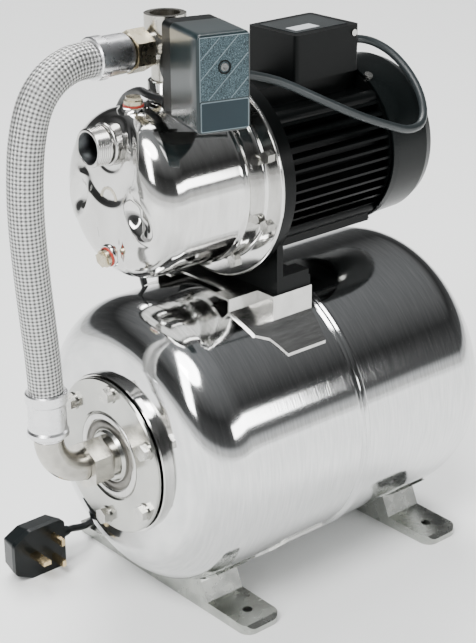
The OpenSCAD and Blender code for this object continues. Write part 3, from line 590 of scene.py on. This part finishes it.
def suction(m):
    """Threaded stub with its bore lined in painted shade (a thin dark sheet), and its weld to the casing.
    """
    ring = [(-168, 13.5), (-168, 16.0), (-183, 16.0), (-183.4, 16.6)]
    x = -184.0
    while x > -196.0:
        ring += [(x, 16.55), (x - 0.55, 16.5), (x - 1.0, 15.4), (x - 1.3, 15.4), (x - 1.75, 16.5)]
        x -= 2.1
    ring += [(-196.6, 16.1), (-197.5, 15.4), (-197.5, 13.9), (-197.1, 13.5), (-168, 13.5)]
    revolve("suction_thread", ring, PUMP_Z + STUB_UP, m["satin"], n=96, slot="polished_steel",
            stands=("suction_port",))
    # painted shade: a thin dark liner tube inside the bore, where the hollow pump body is in shade
    bore_shade_liner = [(-168, 13.52), (-197.0, 13.52), (-197.0, 13.2), (-168, 13.2), (-168, 13.52)]
    revolve("suction_bore_shade", bore_shade_liner, PUMP_Z + STUB_UP, m["throat"], n=96)
    bead = [(-178.0, 16.2), (-179.4, 18.4), (-180.6, 17.6), (-181.6, 16.4), (-178.0, 16.2)]
    revolve("suction_weld", bead, PUMP_Z + STUB_UP, m["satin"], n=96)


def slab(name, s0, depth, t0, t1, z0, z1, r, mat, edge=0.0, **kw):
    """Rounded block on the turned switch, between distances t0 and t1 across and z0 and z1 up."""
    flat = []
    corners = ((t1 - r, z1 - r, 0), (t0 + r, z1 - r, 90), (t0 + r, z0 + r, 180), (t1 - r, z0 + r, 270))
    for ct, cz, a0 in corners:
        for i in range(9):
            a = radians(a0 + 90 * i / 8)
            flat.append((ct + r * cos(a), cz + r * sin(a)))
    rows = [(s0, 0.0), (s0 + depth - edge, 0.0)]
    if edge:
        rows += [(s0 + depth - edge + edge * sin(radians(b)), edge * (1 - cos(radians(b))))
                 for b in (15, 30, 45, 60, 75, 90)]
    verts = []
    mt, mz = (t0 + t1) / 2, (z0 + z1) / 2
    for s, g in rows:
        for t, z in flat:
            ft = 1 - 2 * g / (t1 - t0)
            fz = 1 - 2 * g / (z1 - z0)
            verts.append(at_switch(s, mt + (t - mt) * ft, mz + (z - mz) * fz))
    k = len(flat)
    faces = grid_faces(len(rows), k)
    faces += [tuple(range(k)), tuple(reversed(range((len(rows) - 1) * k, len(rows) * k)))]
    o = put(name, verts, faces, mat, **kw)
    w = o.modifiers.new("faces", "WEIGHTED_NORMAL")
    w.weight = 100
    return o


def bar(name, s0, depth, ta, za, tb, zb, width, mat):
    """Thin raised rib on the switch front, from one point to another."""
    d = hypot(tb - ta, zb - za)
    nt, nz = -(zb - za) / d * width / 2, (tb - ta) / d * width / 2
    flat = [(ta + nt, za + nz), (ta - nt, za - nz), (tb - nt, zb - nz), (tb + nt, zb + nz)]
    top = [(t + (0.35 * nt if i in (1, 2) else -0.35 * nt), z + (0.35 * nz if i in (1, 2) else -0.35 * nz))
           for i, (t, z) in enumerate(flat)]
    verts = [at_switch(s0, t, z) for t, z in flat] + [at_switch(s0 + depth, t, z) for t, z in top]
    faces = [(0, 1, 2, 3), (7, 6, 5, 4)] + [(i, (i + 1) % 4, 4 + (i + 1) % 4, 4 + i) for i in range(4)]
    return put(name, verts, faces, mat, smooth=False)


def switch(m):
    slab("switch_shell", 62, 51.4, -23, 23, 460.5, 539.5, 4.5, m["switch_side"], edge=3.0,
         slot="slate_plastic", stands=("switch_cover",))
    slab("switch_front_panel", 113.2, 0.5, -20.6, 20.6, 487.5, 537.0, 1.5, m["switch_front"])
    slab("switch_label_frame", 113.2, 0.7, -20.8, 20.8, 462.6, 486.6, 1.2, m["switch_line"])
    slab("switch_label_panel", 113.3, 0.75, -20.0, 20.0, 463.4, 485.8, 0.8, m["switch_label"])
    for i, (ta, za, tb, zb) in enumerate(((-20.4, 520, -4.0, 536.4), (-20.4, 504.5, 11.6, 536.5),
                                         (-14.0, 488.2, 20.4, 522.6), (5.5, 488.2, 20.4, 503.1))):
        bar("switch_rib_%d" % i, 113.6, 0.6, ta, za, tb, zb, 0.75, m["switch_line"])
    for i, (ta, za, tb, zb) in enumerate(((-20.9, 487.3, -20.9, 537.2), (-20.9, 537.3, 20.9, 537.3))):
        bar("switch_edge_%d" % i, 113.3, 0.7, ta, za, tb, zb, 0.6, m["switch_line"])
    fwd = at_switch(1, 0, 0) - at_switch(0, 0, 0)
    turned("switch_screw_boss", at_switch(113.3, 0, 513), fwd,
           [(0, 5.6), (0.9, 5.5), (1.1, 5.2), (1.1, 4.6), (0.3, 4.3), (0.2, 3.0), (0, 3.0), (0, 5.6)],
           m["black_plastic"])
    turned("switch_screw_head", at_switch(113.0, 0, 513), fwd,
           [(0, 0.05), (0, 3.4), (1.2, 3.4), (1.6, 2.9), (1.6, 1.4), (0.8, 1.2), (0.8, 0.05)],
           m["dark_zinc"], slot="zinc", stands=("switch_screw",))


def extras(m):
    # blank panel and plate on the terminal lid
    box = [(12, -24), (74, -24), (74, 24), (12, 24)]
    verts = [(x, y, 501.0) for x, y in box] + [(x, y, 501.5) for x, y in box]
    faces = [(3, 2, 1, 0), (4, 5, 6, 7)] + [(i, (i + 1) % 4, 4 + (i + 1) % 4, 4 + i) for i in range(4)]
    put("lid_panel", verts, faces, m["lid_top"], smooth=False)
    box = [(18, -18), (46, -18), (46, -4), (18, -4)]
    verts = [(x, y, 501.4) for x, y in box] + [(x, y, 501.8) for x, y in box]
    put("lid_plate", verts, faces, m["label"], smooth=False)
    # nipple thread between the elbow and the tank flange
    ring = [(-182, 11), (-182, 16.9)]
    x = -183.0
    while x > -202.0:
        ring += [(x, 16.8), (x - 0.6, 16.8), (x - 1.0, 15.9), (x - 1.4, 15.9), (x - 1.8, 16.8)]
        x -= 2.1
    ring += [(-204.9, 16.2), (-204.9, 11), (-182, 11)]
    revolve("tank_nipple", ring, TANK_Z, m["satin"], n=64)
    # painted shade: a thin dark ring laid in the annular recess on the flange face, standing in for its
    # dark reflection, and the raised lip round it
    recess = [(-187.6, 24.6), (-187.6, 33.0), (-188.15, 33.0), (-188.15, 24.6), (-187.6, 24.6)]
    revolve("flange_recess", recess, TANK_Z, m["recess"], n=96)
    revolve("flange_lip", [(-187.6, 33.2), (-187.6, 40.0), (-188.9, 39.6), (-189.45, 38.0), (-189.45, 35.0),
                           (-188.9, 33.6), (-187.6, 33.2)], TANK_Z, m["satin"], n=96)


def build():
    m = make_materials()
    make_camera()
    make_cords(m)
    dress(m)
    tank(m)
    casing(m)
    switch(m)
    extras(m)
    edges = {3.0: "front_foot rear_foot", 1.8: "mains_plug", 1.4: "terminal_lid",
             1.0: "pump_foot terminal_box", 0.9: "swivel_nut union_nut", 0.6: "motor_adaptor switch_base",
             0.5: "saddle flange_bolts saddle_bolts five_way_fitting plug_pins neck_ring",
             0.4: "casing_bolts priming_plug drain_plug flange_plate", 0.3: "motor_housing"}
    for w, names in edges.items():
        for n in names.split():
            soften(cad[n], w)


def floor_and_light():
    me = bpy.data.meshes.new("floor")
    side, z = 9, -0.0002
    corners = [(-side, -side, z), (side, -side, z), (side, side, z), (-side, side, z)]
    me.from_pydata(corners, [], [(0, 1, 2, 3)])
    floor = bpy.data.objects.new("floor", me)
    bpy.context.scene.collection.objects.link(floor)
    k = Mat("floor_paper")
    n = k.noise(3, 2)
    k.link(k.ramp(n, [(0.0, (0.93, 0.94, 0.93)), (1.0, (0.95, 0.96, 0.95))]), k.b.inputs["Base Color"])
    k.b.inputs["Roughness"].default_value = 0.9
    k.b.inputs["Specular IOR Level"].default_value = 0.1
    me.materials.append(k.m)
    world = bpy.data.worlds.new("studio")
    bpy.context.scene.world = world
    world.use_nodes = True
    t = world.node_tree
    bg = t.nodes["Background"]
    co = t.nodes.new("ShaderNodeTexCoord")
    sep = t.nodes.new("ShaderNodeSeparateXYZ")
    ramp = t.nodes.new("ShaderNodeValToRGB")
    t.links.new(co.outputs["Generated"], sep.inputs[0])
    t.links.new(sep.outputs[2], ramp.inputs[0])
    e = ramp.color_ramp.elements
    e[0].position, e[0].color = 0.0, (0.90, 0.90, 0.89, 1)
    e[1].position, e[1].color = 1.0, (0.30, 0.31, 0.32, 1)
    for pos, c in ((0.05, 0.80), (0.11, 0.10), (0.42, 0.04), (0.6, 0.14)):
        k2 = e.new(pos)
        k2.color = (c, c * 1.02, c * 1.03, 1)
    t.links.new(ramp.outputs[0], bg.inputs[0])
    bg.inputs[1].default_value = 1.0
    area_light("key_soft", (-2.2, -0.6, 1.7), (0, 0, 0.3), 0.5, 1.8, 40)
    area_light("right_soft", (0.9, -2.9, 1.1), (0, 0, 0.2), 2.2, 0.5, 40)
    area_light("top_soft", (0.2, 0.6, 2.6), (0, 0, 0.2), 2.2, 0.8, 40)
    for name, spot, power in (("sun_left", (-2.0, -1.0, 3.6), 2.7), ("sun_back", (1.2, 2.4, 3.4), 2.7)):
        data = bpy.data.lights.new(name, "SUN")
        data.energy, data.angle = power, radians(28)
        obj = bpy.data.objects.new(name, data)
        obj.location = spot
        aim(obj, (0, 0, 0))
        bpy.context.scene.collection.objects.link(obj)


build()
floor_and_light()
